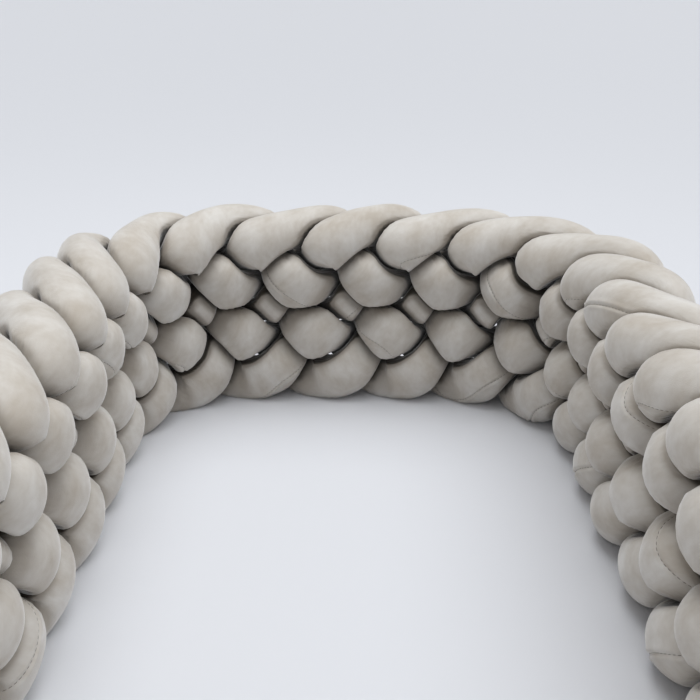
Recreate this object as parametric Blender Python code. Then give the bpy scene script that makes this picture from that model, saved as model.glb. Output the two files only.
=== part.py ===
"""Crib bumper: six stuffed velvet tubes in one flat plait that stands on edge in a U.

Metres, +Z up. The origin is at the middle of the box round the bumper, on the surface it stands on.
The head end of the U is at +Y, and its open end faces -Y. The plait is first worked out straight,
as points (along, height, depth) with depth towards the inside of the U, and then bent.
"""

import math

import bpy
import numpy as np

# The plait
TUBES = 6
PITCH = 0.084  # along the plait from one lobe of a row to the next
LOBES = 22  # lobes along one edge of the plait
FIRST_LOBE = 0.61  # pitches from a tube's own start to the cut end of the plait
TURN = 6  # pitches in one full turn of a tube, down and up again

# The U, along the middle of the plait's thickness
HEAD_FLAT = 0.087  # half of the straight stretch across the head end
CORNER_RADIUS = 0.183
NEUTRAL_DEPTH = 0.020  # where the plait is neither stretched nor squeezed in the corners

# The skin
SEAM_GAP = 0.0021  # between two tubes where they press together
EDGE_SOFTNESS = 10  # how crisply a tube turns from its free skin into a pressed face
ENDWISE_FULLNESS = 0.75  # reach of a section along the tube, as a share of its half width
END_ROUNDING = 0.034  # length over which a closed tube end rounds off
END_STATIONS = np.array((0.15, 0.45))  # where its last two rings lie, in stations from its tip
END_CLEAR = 0.5
END_DRAW = 0.05  # share of the height that the plait is drawn in at its two ends
END_DRAW_LENGTH = 0.13
SIDES = 7
RAY_STEPS = 30
RAY_LENGTH = 0.042
SECTIONS_PER_STATION = 12
EASING_ROUNDS = 80
EASING_SHARE = 0.010  # how far a corner moves in for each unit of fullness it is over by
EASING_LEAST, EASING_MOST = 0.0001, 0.0010
FAR = 9.0
# Where a four-cornered face is tested against the neighbours, as shares of its corners: on its
# edges, and in the triangles on either side of each of its two diagonals
EDGE_SPOTS = ((0.5, 0.5, 0, 0), (0, 0.5, 0.5, 0), (0.75, 0.25, 0, 0), (0.25, 0.75, 0, 0))
DIAGONAL_SPOTS = (
    ((0.5, 0, 0.5, 0), (0.4, 0.2, 0.4, 0), (0.4, 0, 0.4, 0.2), (0.7, 0, 0.3, 0), (0.3, 0, 0.7, 0)),
    ((0, 0.5, 0, 0.5), (0.2, 0.4, 0, 0.4), (0, 0.4, 0.2, 0.4), (0, 0.7, 0, 0.3), (0, 0.3, 0, 0.7)),
)

# One full turn of a tube, a row for each half pitch. Lead is how far that crossing lies ahead of an
# even spacing. Depth is + in front, towards the inside of the U.
# Rings says where the skin's sections lie, as shares of the way from this row to the next.
HALVES = (0, 1 / 2)
THIRDS = (0, 1 / 3, 2 / 3)
BEFORE_FLAT = (0, 0.4, 0.8)
AFTER_FLAT = (0.2, 0.6)
STATION_COLUMNS = ("lead", "height", "depth", "half_width", "half_depth", "rings")
STATIONS = (
    (0.004, 0.018, 0.000, 0.032, 0.036, AFTER_FLAT),  # round the bottom edge
    (0.006, 0.041, 0.027, 0.032, 0.028, THIRDS),  # row 1, in front
    (0.008, 0.081, -0.025, 0.028, 0.024, THIRDS),  # row 2, behind
    (0.000, 0.113, 0.018, 0.029, 0.024, THIRDS),  # row 3, in front
    (0.000, 0.145, -0.025, 0.028, 0.024, THIRDS),  # row 4, behind
    (-0.026, 0.178, 0.028, 0.029, 0.029, HALVES),  # row 5, in front
    (-0.019, 0.189, 0.010, 0.029, 0.027, HALVES),  # round the top edge
    (-0.014, 0.185, -0.017, 0.028, 0.023, THIRDS),  # row 5, behind
    (-0.012, 0.145, 0.030, 0.033, 0.030, THIRDS),  # row 4, in front
    (0.000, 0.113, -0.022, 0.028, 0.024, THIRDS),  # row 3, behind
    (0.008, 0.081, 0.028, 0.033, 0.028, THIRDS),  # row 2, in front
    (0.009, 0.045, -0.025, 0.030, 0.026, BEFORE_FLAT),  # row 1, behind
)

# Velvet: colour as linear values, roughness and metallic
VELVET_COLOUR = (0.462, 0.420, 0.371, 1.0)
VELVET_ROUGHNESS = 0.9
VELVET_METALLIC = 0.0

HALF_PITCH = PITCH / 2
LENGTH = LOBES * PITCH
START = FIRST_LOBE * PITCH
END = START + LENGTH
SEAM_SHARE = SEAM_GAP / 0.027  # the gap as a share of a tube's mean half width


def clear_scene():
    for thing in list(bpy.data.objects):
        bpy.data.objects.remove(thing, do_unlink=True)


def new_collection(name):
    collection = bpy.data.collections.new(name)
    bpy.context.scene.collection.children.link(collection)
    return collection


def velvet(name):
    material = bpy.data.materials.new(name)
    material.use_nodes = True
    shader = material.node_tree.nodes["Principled BSDF"]
    shader.inputs["Base Color"].default_value = VELVET_COLOUR
    shader.inputs["Roughness"].default_value = VELVET_ROUGHNESS
    shader.inputs["Metallic"].default_value = VELVET_METALLIC
    return material


def station_values(stations):
    """The table's columns at any stations, on a smooth closed curve through its rows."""
    table = np.array([row[: STATION_COLUMNS.index("rings")] for row in STATIONS])
    row = np.floor(stations).astype(int)
    t = (stations - row)[:, None]
    a, b, c, d = (table[(row + step) % len(table)] for step in (-1, 0, 1, 2))
    bend = (2 * a - 5 * b + 4 * c - d) * t**2 + (3 * b - a - 3 * c + d) * t**3
    return (2 * b + (c - a) * t + bend) / 2


def tube_line(stations):
    """Points along a tube's middle, and its half width and half depth there."""
    values = station_values(stations)
    along = stations * HALF_PITCH + values[:, 0]
    return np.column_stack([along, values[:, 1], values[:, 2]]), values[:, 3:]


def tube_axes(stations):
    """Unit vectors along the tube, across it in the plait's plane, and through the plait."""
    step = 0.05
    ahead, _ = tube_line(stations + step)
    behind, _ = tube_line(stations - step)
    forward = ahead - behind
    flat = forward * (1, 1, 0)
    flat /= np.linalg.norm(flat, axis=1)[:, None]
    forward /= np.linalg.norm(forward, axis=1)[:, None]
    across = np.column_stack([-flat[:, 1], flat[:, 0], np.zeros(len(flat))])
    return forward, across, np.cross(forward, across)


def section_bodies():
    """Ellipsoids that fill one full turn of a tube: their middles and the matrices of their size."""
    count = len(STATIONS) * SECTIONS_PER_STATION
    stations = np.arange(count) / SECTIONS_PER_STATION
    middles, halves = tube_line(stations)
    forward, across, through = tube_axes(stations)
    endwise = ENDWISE_FULLNESS * halves.min(axis=1)
    matrices = np.zeros((count, 3, 3))
    for axis, half in ((forward, endwise), (across, halves[:, 0]), (through, halves[:, 1])):
        matrices += axis[:, :, None] * axis[:, None, :] / (half**2)[:, None, None]
    return middles, matrices


def fullness_near(points, bodies, matrices):
    """Fullness of the tube the points belong to, and of the fullest of its neighbours there."""
    own = np.full(len(points), FAR)
    others = np.full(len(points), FAR)
    along = points[:, 0].mean()
    for shift in range(-2 * TURN, 2 * TURN + 1):
        moved = bodies + (shift * PITCH, 0, 0)
        near = np.abs(moved[:, 0] - along) < 2 * RAY_LENGTH
        if not near.any():
            continue
        offset = points[:, None, :] - moved[None, near]
        square = np.einsum("pmi,mij,pmj->pm", offset, matrices[near], offset)
        value = np.sqrt(square.min(axis=1))
        target = own if shift % TUBES == 0 else others
        np.minimum(target, value, out=target)
    return own, others


def ring_stations():
    """Where the rings of one full turn lie, in stations."""
    rings = STATION_COLUMNS.index("rings")
    return np.concatenate([start + np.array(row[rings]) for start, row in enumerate(STATIONS)])


def ring_directions(stations):
    """Unit vectors from a tube's middle to each side of the rings at these stations."""
    _, across, _ = tube_axes(stations)
    angles = np.arange(SIDES) / SIDES * 2 * math.pi
    through = np.array((0, 0, 1))
    return np.cos(angles)[:, None] * across[:, None, :] + np.sin(angles)[:, None] * through


def pressed_radii():
    """For each ring of one turn and each side, how far out the skin lies: free, or against another."""
    stations = ring_stations()
    middle, _ = tube_line(stations)
    directions = ring_directions(stations)
    bodies, matrices = section_bodies()
    reach = np.linspace(0, RAY_LENGTH, RAY_STEPS + 1)
    radii = np.zeros(directions.shape[:2])
    for ring, (centre, rays) in enumerate(zip(middle, directions)):
        points = (centre + rays[:, None, :] * reach[None, :, None]).reshape(-1, 3)
        own, others = fullness_near(points, bodies, matrices)
        free = first_reach(reach, (own - 1).reshape(SIDES, -1))
        pressed = first_reach(reach, (own - others + SEAM_SHARE).reshape(SIDES, -1))
        radii[ring] = (free**-EDGE_SOFTNESS + pressed**-EDGE_SOFTNESS) ** (-1 / EDGE_SOFTNESS)
    return eased(radii, middle, directions, bodies, matrices)


def first_reach(reach, level):
    """Along each row, how far out the level first rises through zero, or the last reach."""
    above = level > 0
    above[:, -1] = True
    first = np.maximum(above.argmax(axis=1), 1)
    rows = np.arange(len(level))
    low, high = level[rows, first - 1], level[rows, first]
    share = np.where(high > low, -low / np.where(high > low, high - low, 1), 1)
    return reach[first - 1] + np.clip(share, 0, 1) * (reach[first] - reach[first - 1])


def eased(radii, middle, directions, bodies, matrices):
    """Draws the skin in until no flat face between its corners reaches into a neighbour.

    Returns the radii, and for each four-cornered face whether it is split from its first corner.
    """
    shares = np.array(EDGE_SPOTS + DIAGONAL_SPOTS[0] + DIAGONAL_SPOTS[1])
    edge_count, diagonal_count = len(EDGE_SPOTS), len(DIAGONAL_SPOTS[0])
    for _ in range(EASING_ROUNDS):
        skin = middle[:, None, :] + radii[:, :, None] * directions
        ahead = np.roll(skin, -1, 0)
        ahead[-1, :, 0] += TURN * PITCH
        corners = np.stack((skin, ahead, np.roll(ahead, -1, 1), np.roll(skin, -1, 1)))
        spots = np.einsum("kc,crsx->rskx", shares, corners)
        depth = np.zeros(spots.shape[:3])
        for ring in range(len(radii)):
            own, others = fullness_near(spots[ring].reshape(-1, 3), bodies, matrices)
            depth[ring] = (own - others + SEAM_SHARE / 2).reshape(SIDES, -1)
        first = depth[:, :, edge_count : edge_count + diagonal_count].max(axis=2)
        second = depth[:, :, edge_count + diagonal_count :].max(axis=2)
        split = first <= second
        depth[:, :, edge_count : edge_count + diagonal_count][~split] = 0
        depth[:, :, edge_count + diagonal_count :][split] = 0
        shrink = np.zeros(radii.shape)
        for corner, (ring_step, side_step) in enumerate(((0, 0), (1, 0), (1, 1), (0, 1))):
            blame = (np.maximum(depth, 0) * (shares[:, corner] > 0.3)).max(axis=2)
            shrink = np.maximum(shrink, np.roll(blame, (ring_step, side_step), (0, 1)))
        if not shrink.any():
            break
        radii = radii - np.clip(shrink * EASING_SHARE, EASING_LEAST, EASING_MOST) * (shrink > 0)
    return radii, split


def end_share(along):
    """1 along the plait, falling to 0 as a tube's end rounds off."""
    inside = np.minimum(along - START, END - along)
    part = np.clip(inside / END_ROUNDING, 0, 1)
    return np.sqrt(1 - (1 - part) ** 2)


def bend(points):
    """Takes points of the straight plait into the U, drawn in at its ends, on the surface."""
    along, height, depth = points.T
    to_end = np.minimum(along - START, END - along)
    draw = np.clip(1 - to_end / END_DRAW_LENGTH, 0, 1) ** 2
    height = np.maximum(height, 0) * (1 - END_DRAW * draw)
    from_middle = along - (START + END) / 2
    side = np.sign(from_middle)
    run = np.abs(from_middle)
    neutral = CORNER_RADIUS - NEUTRAL_DEPTH
    quarter = neutral * math.pi / 2
    turn = np.clip(run - HEAD_FLAT, 0, quarter) / neutral
    past = np.maximum(run - HEAD_FLAT - quarter, 0)
    x = np.minimum(run, HEAD_FLAT) + (CORNER_RADIUS - depth) * np.sin(turn)
    y = (CORNER_RADIUS - depth) * np.cos(turn) - CORNER_RADIUS - past
    return np.column_stack([side * x, y, height])


def tube_rings(number, radii, split):
    """The rings of points of one tube, how each face after a ring is split, and its end points."""
    span = np.arange(-3 * TURN, 2 * (LOBES + TURN), 1 / SECTIONS_PER_STATION)
    line, _ = tube_line(span)
    along = line[:, 0] + number * PITCH
    first, last = (np.interp(edge, along, span) for edge in (START, END))
    turn = ring_stations()
    turns = np.arange(-3, LOBES // 3)[:, None] * len(STATIONS)
    whole = (turn + turns).reshape(-1)
    inside = np.flatnonzero((whole > first + END_CLEAR) & (whole < last - END_CLEAR))
    stations = np.concatenate([first + END_STATIONS, whole[inside], last - END_STATIONS[::-1]])
    before = np.searchsorted(whole, stations, side="right") - 1
    part = ((stations - whole[before]) / (whole[before + 1] - whole[before]))[:, None]
    radius = radii[before % len(turn)] * (1 - part) + radii[(before + 1) % len(turn)] * part
    middle, _ = tube_line(stations)
    middle[:, 0] += number * PITCH
    radius = radius * end_share(middle[:, 0])[:, None]
    rings = middle[:, None, :] + radius[:, :, None] * ring_directions(stations)
    tips, _ = tube_line(np.array((first, last)))
    tips[:, 0] += number * PITCH
    return rings, split[before % len(turn)], tips


def tube_mesh(name, rings, splits, tips):
    """A closed skin through the rings, from one end point to the other."""
    count = len(rings)
    faces = []
    for ring in range(count - 1):
        for side in range(SIDES):
            following = (side + 1) % SIDES
            here, there = ring * SIDES, (ring + 1) * SIDES
            a, b, c, d = here + side, there + side, there + following, here + following
            if splits[ring, side]:
                faces += [(a, d, c), (a, c, b)]
            else:
                faces += [(a, d, b), (d, c, b)]
    for side in range(SIDES):
        following = (side + 1) % SIDES
        last = (count - 1) * SIDES
        faces.append((count * SIDES, following, side))
        faces.append((count * SIDES + 1, last + side, last + following))
    mesh = bpy.data.meshes.new(name)
    mesh.from_pydata(np.vstack([rings.reshape(-1, 3), tips]).tolist(), [], faces)
    mesh.update()
    return mesh


def build():
    clear_scene()
    collection = new_collection("crib_bumper")
    radii, split = pressed_radii()
    shapes = []
    for number in range(TUBES):
        rings, splits, tips = tube_rings(number, radii, split)
        bent = bend(rings.reshape(-1, 3)).reshape(rings.shape)
        shapes.append((bent, splits, bend(tips)))
    everything = np.vstack([rings.reshape(-1, 3) for rings, _, _ in shapes])
    centre = (everything.max(axis=0) + everything.min(axis=0)) / 2 * (1, 1, 0)
    for number, (rings, splits, tips) in enumerate(shapes, start=1):
        name = f"tube_{number}"
        mesh = tube_mesh(name, rings - centre, splits, tips - centre)
        mesh.materials.append(velvet(f"velvet_{number}"))
        collection.objects.link(bpy.data.objects.new(name, mesh))


build()
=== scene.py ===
"""Crib bumper: six stuffed velvet tubes in one flat plait that stands on edge in a U.

Metres, +Z up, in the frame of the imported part. The head end of the U is at +Y and its open end faces
-Y. The plait is worked out straight, as points (along, height, depth) with depth towards the inside
of the U, and then bent.
"""

import math

import bpy
import numpy as np
from mathutils import Matrix, Vector


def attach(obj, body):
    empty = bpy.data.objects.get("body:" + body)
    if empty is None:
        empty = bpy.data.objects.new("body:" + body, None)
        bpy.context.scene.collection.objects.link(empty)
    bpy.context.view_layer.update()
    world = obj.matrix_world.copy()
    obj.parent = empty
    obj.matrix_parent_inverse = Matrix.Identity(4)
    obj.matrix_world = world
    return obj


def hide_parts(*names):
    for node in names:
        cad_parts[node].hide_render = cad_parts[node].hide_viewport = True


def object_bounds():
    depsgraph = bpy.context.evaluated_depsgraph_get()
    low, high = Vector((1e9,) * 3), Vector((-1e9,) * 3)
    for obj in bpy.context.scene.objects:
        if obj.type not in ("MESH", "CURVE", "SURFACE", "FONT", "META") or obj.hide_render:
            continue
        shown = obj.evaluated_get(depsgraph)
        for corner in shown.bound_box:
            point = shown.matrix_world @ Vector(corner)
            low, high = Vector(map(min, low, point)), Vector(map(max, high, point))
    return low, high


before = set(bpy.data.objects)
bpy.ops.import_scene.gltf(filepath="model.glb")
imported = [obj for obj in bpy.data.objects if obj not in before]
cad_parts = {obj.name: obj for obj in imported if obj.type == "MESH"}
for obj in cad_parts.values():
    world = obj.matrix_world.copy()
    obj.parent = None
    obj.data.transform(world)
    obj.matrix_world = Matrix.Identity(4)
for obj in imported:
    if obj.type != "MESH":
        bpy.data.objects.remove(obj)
cad_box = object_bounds()
scene = bpy.context.scene

# ---- Camera -----------------------------------------------------------------------------------
# Stands at the open end of the U, a little above the bumper, and looks down at its head end.

CAMERA_LENS = 48.24  # mm, on a sensor 36 mm wide
CAMERA_PLACE = (-0.0026, -0.679, 0.475)
CAMERA_DOWN = math.radians(22.5)
CAMERA_ROLL = 0.012

camera_data = bpy.data.cameras.new("camera")
camera_data.sensor_width = 36
camera_data.lens = CAMERA_LENS
camera_data.clip_start = 0.01
camera = bpy.data.objects.new("camera", camera_data)
camera.location = CAMERA_PLACE
camera.rotation_euler = (
    Matrix.Rotation(math.pi / 2 - CAMERA_DOWN, 4, "X") @ Matrix.Rotation(CAMERA_ROLL, 4, "Z")
).to_euler()
scene.collection.objects.link(camera)
scene.camera = camera

# ---- Floor ------------------------------------------------------------------------------------
# A plain pale floor, wide enough to fill the view, with the faint cool tint of a cotton sheet.

FLOOR_COLOUR = "#DCDEE3"
FLOOR_HALF = 60.0


def linear(hex_colour):
    """The linear RGBA of an sRGB hex colour."""
    channels = [int(hex_colour[i : i + 2], 16) / 255 for i in (1, 3, 5)]
    return [c / 12.92 if c <= 0.04045 else ((c + 0.055) / 1.055) ** 2.4 for c in channels] + [1]


def add(tree, kind, settings=None, **inputs):
    """Adds a node: its settings, then each input by name, as a value or a socket to link from."""
    node = tree.nodes.new(kind)
    for name, value in (settings or {}).items():
        setattr(node, name, value)
    for name, value in inputs.items():
        key = int(name[1:]) if name[1:].isdigit() else name.replace("_", " ")
        if isinstance(value, bpy.types.NodeSocket):
            tree.links.new(value, node.inputs[key])
        else:
            node.inputs[key].default_value = value
    return node


floor_paint = bpy.data.materials.new("matt_pale_floor")
floor_paint.use_nodes = True
floor_shader = floor_paint.node_tree.nodes["Principled BSDF"]
floor_shader.inputs["Base Color"].default_value = linear(FLOOR_COLOUR)
floor_shader.inputs["Roughness"].default_value = 0.9
floor_shader.inputs["Specular IOR Level"].default_value = 0.2

floor_mesh = bpy.data.meshes.new("floor")
floor_mesh.from_pydata(
    [(x * FLOOR_HALF, y * FLOOR_HALF, 0) for x, y in ((-1, -1), (1, -1), (1, 1), (-1, 1))],
    [],
    [(0, 1, 2, 3)],
)
floor_mesh.materials.append(floor_paint)
floor = bpy.data.objects.new("floor", floor_mesh)
scene.collection.objects.link(floor)

# ---- Light ------------------------------------------------------------------------------------
# Plain soft studio light: one very broad high light from above and a little to the right, a panel
# over the head end, and a pale room all round.

ROOM_COLOUR = "#F5F5F6"
ROOM_STRENGTH = 0.40
ROOM_LOW = 0.78  # near the horizon, where the room meets the floor
ROOM_LOW_HEIGHT = 0.5  # as a share of the way up to overhead, where that paler part has faded

HIGH_LIGHT_FROM = Vector((0.30, 0.15, 1.6))
HIGH_LIGHT_STRENGTH = 1.9
HIGH_LIGHT_COLOUR = (0.97, 0.985, 1.0)
HIGH_LIGHT_ANGLE = math.radians(70)
PANEL_PLACE = Vector((-0.1, 0.30, 1.5))
PANEL_TARGET = Vector((0.0, 0.25, 0.1))
PANEL_WIDTH = 0.7
PANEL_POWER = 4


def light_from(name, kind, place, towards):
    """A light of this kind, at this place, turned to shine towards a point."""
    light = bpy.data.lights.new(name, kind)
    lamp = bpy.data.objects.new(name, light)
    lamp.location = place
    lamp.rotation_euler = (towards - place).to_track_quat("-Z", "Y").to_euler()
    scene.collection.objects.link(lamp)
    return light


high_light = light_from("high_light", "SUN", HIGH_LIGHT_FROM, Vector((0, 0, 0)))
high_light.energy = HIGH_LIGHT_STRENGTH
high_light.color = HIGH_LIGHT_COLOUR
high_light.angle = HIGH_LIGHT_ANGLE
panel = light_from("head_panel", "AREA", PANEL_PLACE, PANEL_TARGET)
panel.energy = PANEL_POWER
panel.size = PANEL_WIDTH

room = bpy.data.worlds.new("pale_room")
room.use_nodes = True
room_background = room.node_tree.nodes["Background"]
room_background.inputs["Color"].default_value = linear(ROOM_COLOUR)
room_height = add(
    room.node_tree, "ShaderNodeSeparateXYZ",
    Vector=add(room.node_tree, "ShaderNodeTexCoord").outputs["Generated"],
)
room_light = add(
    room.node_tree, "ShaderNodeMapRange", {"interpolation_type": "SMOOTHSTEP"},
    Value=room_height.outputs["Z"], From_Min=0.0, From_Max=ROOM_LOW_HEIGHT,
    To_Min=ROOM_LOW, To_Max=ROOM_STRENGTH,
)
room.node_tree.links.new(room_light.outputs["Result"], room_background.inputs["Strength"])
scene.world = room
scene.view_settings.view_transform = "Standard"

# ---- The path of the tubes --------------------------------------------------------------------
# Six tubes are plaited flat, over one and under one. Each runs up across the plait, round its top
# edge, down across it and round its bottom edge, and all six follow that one path a pitch apart.

TUBES = 6
PITCH = 0.084  # along the plait from one lobe of a row to the next
HALF_PITCH = PITCH / 2
TURN = 6  # pitches in one full turn of a tube, down and up again
LENGTH = 22 * PITCH
START = 0.61 * PITCH
END = START + LENGTH

# A row for each half pitch. Lead is how far that crossing lies ahead of an even spacing. Depth is +
# in front.
STATIONS = np.array((
    # lead, height, depth, half width, half depth
    (0.004, 0.018, 0.000, 0.032, 0.036),  # round the bottom edge
    (0.006, 0.041, 0.027, 0.032, 0.028),  # row 1, in front
    (0.008, 0.081, -0.025, 0.028, 0.024),  # row 2, behind
    (0.000, 0.113, 0.018, 0.029, 0.024),  # row 3, in front
    (0.000, 0.145, -0.025, 0.028, 0.024),  # row 4, behind
    (-0.026, 0.178, 0.028, 0.029, 0.029),  # row 5, in front
    (-0.019, 0.189, 0.010, 0.029, 0.027),  # round the top edge
    (-0.014, 0.185, -0.017, 0.028, 0.023),  # row 5, behind
    (-0.012, 0.144, 0.031, 0.034, 0.030),  # row 4, in front
    (0.000, 0.113, -0.022, 0.028, 0.024),  # row 3, behind
    (0.008, 0.081, 0.030, 0.034, 0.029),  # row 2, in front
    (0.009, 0.045, -0.025, 0.030, 0.026),  # row 1, behind
))

# The U, along the middle of the plait's thickness
HEAD_FLAT = 0.087  # half of the straight stretch across the head end
CORNER_RADIUS = 0.183
NEUTRAL_DEPTH = 0.020  # where the plait is neither stretched nor squeezed in the corners
HALF_THICKNESS = 0.0513  # from there to the outermost skin
END_DRAW = 0.05  # share of the height that the plait is drawn in at its two ends
END_DRAW_LENGTH = 0.13


def station_values(stations):
    """The table's columns at any stations, on a smooth closed curve through its rows."""
    row = np.floor(stations).astype(int)
    t = (stations - row)[:, None]
    a, b, c, d = (STATIONS[(row + step) % len(STATIONS)] for step in (-1, 0, 1, 2))
    bow = (2 * a - 5 * b + 4 * c - d) * t**2 + (3 * b - a - 3 * c + d) * t**3
    return (2 * b + (c - a) * t + bow) / 2


def tube_line(stations):
    """Points along a tube's middle, and its half width and half depth there."""
    values = station_values(stations)
    along = stations * HALF_PITCH + values[:, 0]
    return np.column_stack([along, values[:, 1], values[:, 2]]), values[:, 3:]


def tube_axes(stations):
    """Unit vectors along the tube, across it in the plait's plane, and through the plait."""
    step = 0.05
    forward = tube_line(stations + step)[0] - tube_line(stations - step)[0]
    flat = forward * (1, 1, 0)
    flat /= np.linalg.norm(flat, axis=1)[:, None]
    forward /= np.linalg.norm(forward, axis=1)[:, None]
    across = np.column_stack([-flat[:, 1], flat[:, 0], np.zeros(len(flat))])
    return forward, across, np.cross(forward, across)


def bend(points):
    """Takes points of the straight plait into the U, drawn in at its ends, on the floor."""
    along, height, depth = points.T
    to_end = np.minimum(along - START, END - along)
    draw = np.clip(1 - to_end / END_DRAW_LENGTH, 0, 1) ** 2
    height = np.maximum(height, 0) * (1 - END_DRAW * draw)
    from_middle = along - (START + END) / 2
    run = np.abs(from_middle)
    neutral = CORNER_RADIUS - NEUTRAL_DEPTH
    quarter = neutral * math.pi / 2
    turn = np.clip(run - HEAD_FLAT, 0, quarter) / neutral
    past = np.maximum(run - HEAD_FLAT - quarter, 0)
    x = np.minimum(run, HEAD_FLAT) + (CORNER_RADIUS - depth) * np.sin(turn)
    y = (CORNER_RADIUS - depth) * np.cos(turn) - CORNER_RADIUS - past
    head_line = cad_box[1].y - HALF_THICKNESS
    return np.column_stack([np.sign(from_middle) * x, y + head_line, height])


# ---- The velvet tubes -------------------------------------------------------------------------
# Long tubes of short-pile velvet, stuffed with polyester fibre. Where two of them press together
# the stuffing gives way and the velvet meets in a soft, dark crease.

CREASE_GAP = 0.0030  # between two tubes where they press together
CREASE_SOFTNESS = 16  # how crisply a tube turns from its free skin into a pressed face
FULLNESS = 1.03  # how much the stuffing swells a tube beyond its even half width
ENDWISE_FULLNESS = 0.75  # reach of a section along the tube, as a share of its half width
END_ROUNDING = 0.042  # length over which a closed tube end rounds off
RINGS = 10  # for each station
SIDES = 72
SECTIONS = 24  # for each station
RAY_STEPS = 32
RAY_LENGTH = 0.046
MEAN_HALF_WIDTH = 0.027
FAR = 81.0  # squared fullness of a point that no tube comes near
CREASE_EDGE = (0.84, 1.05)  # free over pressed reach, from open skin to inside a crease


def square_terms(points):
    """The ten products that a quadric's value is a sum of."""
    x, y, z = points.T
    return np.column_stack([x * x, y * y, z * z, x * y, x * z, y * z, x, y, z, np.ones(len(x))])


def section_quadrics():
    """Ellipsoids that fill one full turn of a tube: their middles, and their quadrics' factors."""
    count = len(STATIONS) * SECTIONS
    stations = np.arange(count) / SECTIONS
    middles, halves = tube_line(stations)
    halves = halves * FULLNESS
    forward, across, through = tube_axes(stations)
    endwise = ENDWISE_FULLNESS * halves.min(axis=1)
    m = np.zeros((count, 3, 3))
    for axis, half in ((forward, endwise), (across, halves[:, 0]), (through, halves[:, 1])):
        m += axis[:, :, None] * axis[:, None, :] / (half**2)[:, None, None]
    return middles, m


def quadric_factors(middles, m):
    pulled = np.einsum("mij,mj->mi", m, middles)
    level = np.einsum("mi,mi->m", pulled, middles)
    return np.column_stack([
        m[:, 0, 0], m[:, 1, 1], m[:, 2, 2], 2 * m[:, 0, 1], 2 * m[:, 0, 2], 2 * m[:, 1, 2],
        -2 * pulled, level,
    ])


def fullness_near(points, middles, m):
    """Fullness of the tube the points belong to, and of the fullest of its neighbours there."""
    own = np.full(len(points), FAR)
    others = np.full(len(points), FAR)
    centre = points[:, 0].mean()
    terms = square_terms(points - (centre, 0, 0))
    for shift in range(-2 * TURN, 2 * TURN + 1):
        moved = middles + (shift * PITCH - centre, 0, 0)
        near = np.abs(moved[:, 0]) < 2 * RAY_LENGTH
        if near.any():
            value = (terms @ quadric_factors(moved[near], m[near]).T).min(axis=1)
            target = own if shift % TUBES == 0 else others
            np.minimum(target, value, out=target)
    return np.sqrt(np.maximum(own, 0)), np.sqrt(np.maximum(others, 0))


def first_reach(reach, level):
    """Along each row, how far out the level first rises through zero, or the last reach."""
    above = level > 0
    above[:, -1] = True
    first = np.maximum(above.argmax(axis=1), 1)
    rows = np.arange(len(level))
    low, high = level[rows, first - 1], level[rows, first]
    share = np.where(high > low, -low / np.where(high > low, high - low, 1), 1)
    return reach[first - 1] + np.clip(share, 0, 1) * (reach[first] - reach[first - 1])


def ring_directions(stations, angles):
    """Unit vectors from a tube's middle to the skin, for each ring and angle."""
    _, across, _ = tube_axes(stations)
    cos, sin = np.cos(angles)[..., None], np.sin(angles)[..., None]
    return cos * across[:, None, :] + sin * np.array((0, 0, 1))


def turn_radii():
    """For each ring of one turn and each side: how far out the skin lies, and how near a crease."""
    stations = np.arange(len(STATIONS) * RINGS) / RINGS
    angles = np.arange(SIDES) / SIDES * 2 * math.pi
    middle, _ = tube_line(stations)
    directions = ring_directions(stations, np.broadcast_to(angles, (len(stations), SIDES)))
    middles, m = section_quadrics()
    reach = np.linspace(0, RAY_LENGTH, RAY_STEPS + 1)
    free = np.zeros((len(stations), SIDES))
    pressed = np.zeros_like(free)
    share = CREASE_GAP / MEAN_HALF_WIDTH
    for ring, (centre, rays) in enumerate(zip(middle, directions)):
        points = (centre + rays[:, None, :] * reach[None, :, None]).reshape(-1, 3)
        own, others = fullness_near(points, middles, m)
        free[ring] = first_reach(reach, (own - 1).reshape(SIDES, -1))
        pressed[ring] = first_reach(reach, (own - others + share).reshape(SIDES, -1))
    radii = (free**-CREASE_SOFTNESS + pressed**-CREASE_SOFTNESS) ** (-1 / CREASE_SOFTNESS)
    inside = np.clip((free / pressed - CREASE_EDGE[0]) / (CREASE_EDGE[1] - CREASE_EDGE[0]), 0, 1)
    return soft(radii), soft(inside)


def soft(values):
    """Evens out a turn's values between neighbouring rings and sides."""
    for axis in (0, 1):
        values = (np.roll(values, 1, axis) + 2 * values + np.roll(values, -1, axis)) / 4
    return values


UNEVENNESS = 0.0012


def unevenness(points):
    """How far hand stuffing and plaiting move the skin from a perfect plait, in metres."""
    x, y, z = (points / 0.1).T
    return np.column_stack([
        np.sin(2.1 * x + 1.3 * z + 0.4) + np.sin(3.7 * y - 2.2 * x + 1.9),
        np.sin(2.6 * y - 1.9 * z + 2.2) + np.sin(3.3 * x + 2.4 * y + 0.3),
        (np.sin(3.1 * x + 1.7 * y + 1.1) + np.sin(2.3 * y - 3.5 * x)) * np.clip(z - 0.2, 0, 1),
    ]) * UNEVENNESS


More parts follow.
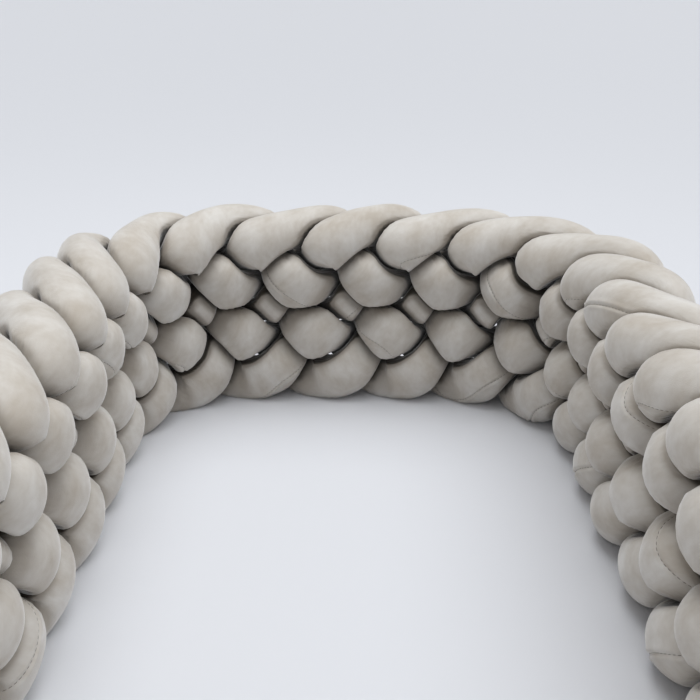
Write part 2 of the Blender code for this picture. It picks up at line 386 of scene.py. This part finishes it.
# Each tube is one strip of velvet, sewn inside out into a tube and turned. Its seam shows as a thin
# sunk line between two low puckered shoulders, and wanders round the tube as the tubes are twisted.
# A row for each tube, of pairs: the station, and the seam's angle there. An angle of 1.57 faces the
# inside of the U, and one of 3.14 the tube's lower side.
SEAMS = (
    ((-9, 4.4), (5, 4.0), (17, 4.6), (29, 4.3), (50, 3.9)),
    ((-9, 3.6), (8, 3.1), (20, 2.05), (29, 2.0), (37, 1.9), (50, 1.2)),
    ((-9, 2.0), (5, 2.3), (17, 3.9), (29, 1.4), (50, 0.8)),
    ((-9, 1.1), (5, 1.7), (17, 4.6), (29, 3.2), (50, 2.9)),
    ((-9, 3.3), (5, 2.8), (15, 2.0), (17, 1.85), (20, 1.8), (29, 1.9), (50, 2.6)),
    ((-9, 5.2), (5, 4.9), (17, 4.4), (29, 4.8), (50, 5.3)),
)
SEAM_DEPTH, SEAM_WIDTH = 0.0010, 0.0011
SHOULDER_HEIGHT, SHOULDER_OFFSET, SHOULDER_WIDTH = 0.0008, 0.0028, 0.0016
PUCKER_LENGTH = 0.0065
LUMP_HEIGHT, LUMP_WIDTH, LUMP_LENGTH = 0.00035, 0.027, 0.030
NEAR_SEAM = np.array((0.020, 0.042, 0.066, 0.095, 0.130, 0.175, 0.23))
FAR_COLUMNS = 28
OFFSETS = np.concatenate([
    [0], NEAR_SEAM, np.linspace(0.32, 2 * math.pi - 0.32, 2 * FAR_COLUMNS), 2 * math.pi - NEAR_SEAM[::-1]
])


def seam_angle(number, stations):
    knots = np.array(SEAMS[number])
    x, y = knots.T
    slope = np.gradient(y, x)
    i = np.clip(np.searchsorted(x, stations) - 1, 0, len(x) - 2)
    width = x[i + 1] - x[i]
    t = np.clip((stations - x[i]) / width, 0, 1)
    return (
        y[i] * (2 * t**3 - 3 * t**2 + 1) + y[i + 1] * (3 * t**2 - 2 * t**3)
        + width * (slope[i] * (t**3 - 2 * t**2 + t) + slope[i + 1] * (t**3 - t**2))
    )


def seam_relief(offset, run):
    """How far the skin stands out this far round from the seam, at this run along the tube."""
    sunk = SEAM_DEPTH * np.exp(-((offset / SEAM_WIDTH) ** 2))
    shoulder = np.exp(-(((np.abs(offset) - SHOULDER_OFFSET) / SHOULDER_WIDTH) ** 2))
    pucker = 0.6 + 0.4 * np.sin(run / PUCKER_LENGTH * 2 * math.pi + 1.7 * np.sin(run * 90))
    return SHOULDER_HEIGHT * shoulder * pucker - sunk


def hand_stuffing(number, offset, run):
    """Low lumps and hollows that a hand leaves in the stuffing, different in each tube."""
    u, v = offset / LUMP_WIDTH + number, run / LUMP_LENGTH + 2.3 * number
    lumps = np.sin(1.0 * u + 1.3 * v) + np.sin(2.0 * u - 0.9 * v + 1.1)
    return LUMP_HEIGHT * (lumps + 0.7 * np.sin(3.0 * u + 2.9 * v + 0.5))


def tube_skin(number, radii, creases):
    """The rings of points of one tube, its end points, and how near a crease each point lies."""
    span = np.arange(-3 * TURN, 2 * (22 + TURN), 1 / SECTIONS)
    line, _ = tube_line(span)
    along = line[:, 0] + number * PITCH
    first, last = (np.interp(edge, along, span) for edge in (START, END))
    whole = np.arange(math.ceil((first + 0.08) * RINGS), math.floor((last - 0.08) * RINGS) + 1)
    ends = np.array((0.012, 0.035))
    stations = np.concatenate([first + ends, whole / RINGS, last - ends[::-1]])
    slot = np.clip(np.round(stations * RINGS).astype(int), whole[0], whole[-1]) % len(radii)
    middle, _ = tube_line(stations)
    middle[:, 0] += number * PITCH
    inside = np.minimum(middle[:, 0] - START, END - middle[:, 0])
    part = np.clip(inside / END_ROUNDING, 0, 1)
    angles = seam_angle(number, stations)[:, None] + OFFSETS
    side = angles / (2 * math.pi) * SIDES
    before = np.floor(side).astype(int)
    share = side - before
    ring = slot[:, None]
    radius, crease = (
        values[ring, before % SIDES] * (1 - share) + values[ring, (before + 1) % SIDES] * share
        for values in (radii, creases)
    )
    run = np.concatenate([[0], np.cumsum(np.linalg.norm(np.diff(middle, axis=0), axis=1))])
    round_way = (OFFSETS + math.pi) % (2 * math.pi) - math.pi
    offset = round_way[None, :] * MEAN_HALF_WIDTH
    relief = seam_relief(offset, run[:, None]) + hand_stuffing(number, offset, run[:, None])
    radius = radius + relief * (1 - crease)
    radius = radius * np.sqrt(1 - (1 - part) ** 2)[:, None]
    crease = crease * np.clip(part * 1.2 - 0.2, 0, 1)[:, None] ** 2
    rings = middle[:, None, :] + radius[:, :, None] * ring_directions(stations, angles)
    tips, _ = tube_line(np.array((first, last)))
    tips[:, 0] += number * PITCH
    return rings, tips, crease


def tube_mesh(name, rings, tips):
    """A closed skin through the rings, with UVs in metres round the tube and along it."""
    count, sides = rings.shape[:2]
    faces, corners = [], []
    for ring in range(count - 1):
        here, there = ring * sides, (ring + 1) * sides
        for side in range(sides):
            following = (side + 1) % sides
            faces.append((here + side, here + following, there + following, there + side))
            corners += [(ring, side), (ring, side + 1), (ring + 1, side + 1), (ring + 1, side)]
    last = (count - 1) * sides
    for side in range(sides):
        following = (side + 1) % sides
        faces.append((count * sides, following, side))
        corners += [(-1, side), (0, side + 1), (0, side)]
        faces.append((count * sides + 1, last + side, last + following))
        corners += [(count, side), (count - 1, side), (count - 1, side + 1)]
    mesh = bpy.data.meshes.new(name)
    mesh.from_pydata(np.vstack([rings.reshape(-1, 3), tips]).tolist(), [], faces)
    steps = np.linalg.norm(np.diff(rings.mean(axis=1), axis=0), axis=1)
    run = np.concatenate([[0], np.cumsum(steps)])
    ring_side = np.array(corners)
    uv = np.column_stack([
        np.append(OFFSETS, 2 * math.pi)[ring_side[:, 1]] * MEAN_HALF_WIDTH,
        run[np.clip(ring_side[:, 0], 0, count - 1)],
    ])
    mesh.uv_layers.new(name="cloth")
    mesh.uv_layers["cloth"].data.foreach_set("uv", uv.astype(np.float32).ravel())
    mesh.polygons.foreach_set("use_smooth", [True] * len(faces))
    mesh.update()
    return mesh


# Velvet: polyester cut pile about 1.5 mm deep. Stroked one way it looks paler than the other, in
# soft patches a few centimetres wide, and it glows faintly where it turns away from the eye.
PILE_PALE = "#D8D5D0"
PILE_DARK = "#BDB5AA"
PILE_SHADE_BESIDE_CREASE = "#9A9186"  # painted shade beside a crease, where the tubes shadow each other
PILE_SHADE_IN_CREASE = "#4A443D"  # painted shade deep in a crease, where little light reaches
PATCH_SIZE = 0.038
STROKE_SIZE = 0.006
FIBRE_SIZE = 0.0009
FOLD_WIDTH, FOLD_LENGTH = 0.006, 0.022

velvet = bpy.data.materials.new("taupe_velvet")
velvet.use_nodes = True
tree = velvet.node_tree
shader = tree.nodes["Principled BSDF"]
shader.inputs["Roughness"].default_value = 0.85
shader.inputs["Specular IOR Level"].default_value = 0.15
shader.inputs["Sheen Weight"].default_value = 0.65
shader.inputs["Sheen Roughness"].default_value = 0.35
cloth = add(tree, "ShaderNodeUVMap", {"uv_map": "cloth"}).outputs["UV"]
patches = add(tree, "ShaderNodeTexNoise", Vector=cloth, Scale=1 / PATCH_SIZE, Detail=2.0)
strokes = add(tree, "ShaderNodeTexNoise", Vector=cloth, Scale=1 / STROKE_SIZE, Detail=3.0)
fibres = add(tree, "ShaderNodeTexNoise", Vector=cloth, Scale=1 / FIBRE_SIZE, Detail=2.0)
nap = add(
    tree, "ShaderNodeMix", {"data_type": "FLOAT"},
    _0=0.25, _2=patches.outputs["Fac"], _3=strokes.outputs["Fac"],
)
tone = add(
    tree, "ShaderNodeMapRange",
    Value=nap.outputs[0], From_Min=0.32, From_Max=0.68, To_Min=0.0, To_Max=1.0,
)
pile = add(
    tree, "ShaderNodeMix", {"data_type": "RGBA"},
    _0=tone.outputs["Result"], _6=linear(PILE_DARK), _7=linear(PILE_PALE),
)
# Painted shade: driven by the crease attribute, the base colour darkens beside and inside the creases
# between tubes, standing in for the shadow that falls there.
crease_depth = add(tree, "ShaderNodeAttribute", {"attribute_name": "crease"}).outputs["Fac"]
crease_shade_mask = add(
    tree, "ShaderNodeMapRange", {"interpolation_type": "SMOOTHSTEP"},
    Value=crease_depth, From_Min=0.75, From_Max=1.0, To_Min=0.0, To_Max=1.0,
)
shaded = add(
    tree, "ShaderNodeMapRange", {"interpolation_type": "SMOOTHSTEP"},
    Value=crease_depth, From_Min=0.0, From_Max=0.7, To_Min=0.0, To_Max=0.6,
)
beside_crease_shade = add(
    tree, "ShaderNodeMix", {"data_type": "RGBA"},
    _0=shaded.outputs["Result"], _6=pile.outputs[2], _7=linear(PILE_SHADE_BESIDE_CREASE),
)
coloured = add(
    tree, "ShaderNodeMix", {"data_type": "RGBA"},
    _0=crease_shade_mask.outputs["Result"], _6=beside_crease_shade.outputs[2], _7=linear(PILE_SHADE_IN_CREASE),
)
tree.links.new(coloured.outputs[2], shader.inputs["Base Color"])

# Beside a crease the cloth gathers in short folds that run along the tube.
stretched = add(tree, "ShaderNodeMapping", Vector=cloth, Scale=(1 / FOLD_WIDTH, 1 / FOLD_LENGTH, 1.0))
folds = add(tree, "ShaderNodeTexNoise", Vector=stretched.outputs["Vector"], Scale=1.0, Detail=1.0)
beside = add(
    tree, "ShaderNodeMapRange", {"interpolation_type": "SMOOTHSTEP"},
    Value=crease_depth, From_Min=0.02, From_Max=0.5, To_Min=0.12, To_Max=1.0,
)
gathered = add(
    tree, "ShaderNodeMath", {"operation": "MULTIPLY"},
    _0=folds.outputs["Fac"], _1=beside.outputs["Result"],
)
fold_bump = add(tree, "ShaderNodeBump", Strength=0.8, Distance=0.0022, Height=gathered.outputs[0])
bumps = add(
    tree, "ShaderNodeBump", Strength=0.3, Distance=0.0006,
    Height=fibres.outputs["Fac"], Normal=fold_bump.outputs["Normal"],
)
tree.links.new(bumps.outputs["Normal"], shader.inputs["Normal"])

radii, creases = turn_radii()
seam_lines = []
SEAM_CLEARANCE = 0.0011  # the stitches of a seam that rests on the floor stay above it
for number in range(TUBES):
    name = f"velvet_tube_{number + 1}"
    rings, tips, crease = tube_skin(number, radii, creases)
    placed = bend(rings.reshape(-1, 3))
    placed += unevenness(placed)
    skin = placed.reshape(rings.shape)
    seam = skin[4:-4, 0].copy()
    seam[:, 2] = np.maximum(seam[:, 2], SEAM_CLEARANCE)
    seam_lines.append(seam)
    mesh = tube_mesh(name, skin, bend(tips))
    depths = mesh.attributes.new("crease", "FLOAT", "POINT")
    depths.data.foreach_set("value", np.append(crease.ravel(), [0, 0]).astype(np.float32))
    mesh.materials.append(velvet)
    tube = bpy.data.objects.new(name, mesh)
    scene.collection.objects.link(tube)
    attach(tube, "root")
    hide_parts(f"tube_{number + 1}")

# ---- The stitches of the seams ------------------------------------------------------------------
# Polyester thread, a shade darker than the pile, sunk in the seam of each tube. The stitches follow
# the seam from end to end.

THREAD_COLOUR = "#8F8980"
STITCH_SPACING = 0.0042
STITCH_HALF_LENGTH = 0.0015
THREAD_RADIUS = 0.00035

thread = bpy.data.materials.new("polyester_thread")
thread.use_nodes = True
thread_shader = thread.node_tree.nodes["Principled BSDF"]
thread_shader.inputs["Roughness"].default_value = 0.55
thread_shader.inputs["Specular IOR Level"].default_value = 0.3
twist = add(
    thread.node_tree, "ShaderNodeTexWave", {"bands_direction": "DIAGONAL"}, Scale=900.0, Distortion=0.5,
    Vector=add(thread.node_tree, "ShaderNodeTexCoord").outputs["Object"],
)
strand = add(
    thread.node_tree, "ShaderNodeMix", {"data_type": "RGBA"},
    _0=twist.outputs["Fac"], _6=linear("#7E786F"), _7=linear(THREAD_COLOUR),
)
thread.node_tree.links.new(strand.outputs[2], thread_shader.inputs["Base Color"])

stitching = bpy.data.node_groups.new("stitches_along_seam", "GeometryNodeTree")
STITCH_INPUTS = (
    ("Seam", "Geometry"), ("Spacing", "Float"), ("Half Length", "Float"), ("Thread", "Float")
)
for socket, kind in STITCH_INPUTS:
    stitching.interface.new_socket(socket, in_out="INPUT", socket_type=f"NodeSocket{kind}")
stitching.interface.new_socket("Stitches", in_out="OUTPUT", socket_type="NodeSocketGeometry")
given = stitching.nodes.new("NodeGroupInput").outputs
line = add(stitching, "GeometryNodeMeshToCurve", Mesh=given["Seam"])
spots = add(
    stitching, "GeometryNodeCurveToPoints", {"mode": "LENGTH"},
    Curve=line.outputs["Curve"], Length=given["Spacing"],
)
bead = add(stitching, "GeometryNodeMeshUVSphere", Segments=6, Rings=4, Radius=1.0)
thin = add(
    stitching, "ShaderNodeCombineXYZ", X=given["Thread"], Y=given["Thread"], Z=given["Half Length"]
)
sewn = add(
    stitching, "GeometryNodeInstanceOnPoints",
    Points=spots.outputs["Points"], Instance=bead.outputs["Mesh"],
    Rotation=spots.outputs["Rotation"], Scale=thin.outputs["Vector"],
)
real = add(stitching, "GeometryNodeRealizeInstances", Geometry=sewn.outputs["Instances"])
threaded = add(
    stitching, "GeometryNodeSetMaterial", Geometry=real.outputs["Geometry"], Material=thread
)
result = stitching.nodes.new("NodeGroupOutput")
stitching.links.new(threaded.outputs["Geometry"], result.inputs["Stitches"])
socket_names = {item.name: item.identifier for item in stitching.interface.items_tree}

for number, seam in enumerate(seam_lines, start=1):
    path = bpy.data.meshes.new("seam_path")
    path.from_pydata(seam.tolist(), [(i, i + 1) for i in range(len(seam) - 1)], [])
    guide = bpy.data.objects.new("seam_guide", path)
    scene.collection.objects.link(guide)
    modifier = guide.modifiers.new("stitches", "NODES")
    modifier.node_group = stitching
    modifier[socket_names["Spacing"]] = STITCH_SPACING
    modifier[socket_names["Half Length"]] = STITCH_HALF_LENGTH
    modifier[socket_names["Thread"]] = THREAD_RADIUS
    made = bpy.data.meshes.new_from_object(
        guide.evaluated_get(bpy.context.evaluated_depsgraph_get())
    )
    bpy.data.objects.remove(guide)
    made.name = f"seam_stitches_{number}"
    stitches = bpy.data.objects.new(made.name, made)
    scene.collection.objects.link(stitches)
    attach(stitches, "root")
